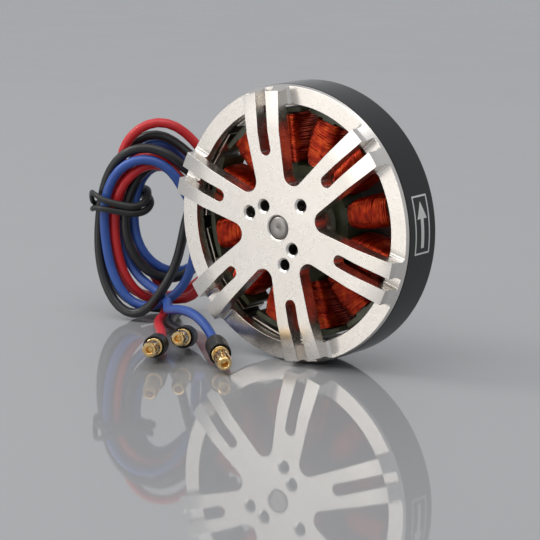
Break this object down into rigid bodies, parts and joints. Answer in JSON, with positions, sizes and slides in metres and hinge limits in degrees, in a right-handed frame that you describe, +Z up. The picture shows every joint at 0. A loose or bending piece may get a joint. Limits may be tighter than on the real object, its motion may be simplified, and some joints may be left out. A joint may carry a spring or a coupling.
{
  "type": "brushless outrunner motor",
  "caption": "Flat outrunner motor with a forked-spoke aluminium bell, black flux ring, copper windings and coiled leads that end in bullet plugs.",
  "frame": {"origin": "centre of the motor's own bounding box at the floor it stands on, leads and plugs not counted", "axes": "+Y along the shaft from the spoked front to the mounting base at the rear, +Z up, +X to the right seen from the front"},
  "size_m": [0.102, 0.0662, 0.063],
  "materials": {
    "satin_aluminium": "satin machined",
    "turned_aluminium": "satin turned",
    "gloss_black_steel": "gloss black",
    "nickel_plate": "plated",
    "ground_steel": "ground",
    "bearing_steel": "polished",
    "green_core_coating": "epoxy coated",
    "enamelled_copper": "enamelled wire",
    "red_silicone": "satin silicone",
    "black_silicone": "satin silicone",
    "blue_silicone": "satin silicone",
    "gold_plate": "gold plated",
    "heat_shrink": "semi-matte",
    "black_rubber": "satin"
  },
  "bodies": {
    "stator": {"bearing_front_outer_race": "bearing_steel", "bearing_rear_outer_race": "bearing_steel", "coil_01": "enamelled_copper", "coil_02": "enamelled_copper", "coil_03": "enamelled_copper", "coil_04": "enamelled_copper", "coil_05": "enamelled_copper", "coil_06": "enamelled_copper", "coil_07": "enamelled_copper", "coil_08": "enamelled_copper", "coil_09": "enamelled_copper", "coil_10": "enamelled_copper", "coil_11": "enamelled_copper", "coil_12": "enamelled_copper", "lead_black": "black_silicone", "lead_blue": "blue_silicone", "lead_grommet": "black_rubber", "lead_red": "red_silicone", "lead_tie": "black_rubber", "plug_black": "gold_plate", "plug_blue": "gold_plate", "plug_red": "gold_plate", "sleeve_black": "heat_shrink", "sleeve_blue": "heat_shrink", "sleeve_red": "heat_shrink", "stator_base": "turned_aluminium", "stator_core": "green_core_coating"},
    "rotor": {"bearing_front_inner_race": "bearing_steel", "bearing_rear_inner_race": "bearing_steel", "circlip": "ground_steel", "flux_ring": "gloss_black_steel", "grub_screw_1": "ground_steel", "grub_screw_2": "ground_steel", "magnet_01": "nickel_plate", "magnet_02": "nickel_plate", "magnet_03": "nickel_plate", "magnet_04": "nickel_plate", "magnet_05": "nickel_plate", "magnet_06": "nickel_plate", "magnet_07": "nickel_plate", "magnet_08": "nickel_plate", "magnet_09": "nickel_plate", "magnet_10": "nickel_plate", "magnet_11": "nickel_plate", "magnet_12": "nickel_plate", "magnet_13": "nickel_plate", "magnet_14": "nickel_plate", "rotor_bell": "satin_aluminium", "shaft": "ground_steel", "shim": "ground_steel"},
    "front_cage": {"bearing_front_cage": "bearing_steel"},
    "rear_cage": {"bearing_rear_cage": "bearing_steel"}
  },
  "joints": [
    {"name": "rotor_spin", "type": "hinge", "parent": "stator", "child": "rotor", "pos_m": [0, 0, 0.0315], "axis": [0, 1, 0], "continuous": true},
    {"name": "front_cage_spin", "type": "hinge", "parent": "stator", "child": "front_cage", "pos_m": [0, -0.001, 0.0315], "axis": [0, 1, 0], "continuous": true},
    {"name": "rear_cage_spin", "type": "hinge", "parent": "stator", "child": "rear_cage", "pos_m": [0, 0.0077, 0.0315], "axis": [0, 1, 0], "continuous": true}
  ],
  "couplings": [
    {"joint": "front_cage_spin", "follows": "rotor_spin", "ratio": 0.398},
    {"joint": "rear_cage_spin", "follows": "rotor_spin", "ratio": 0.398}
  ]
}
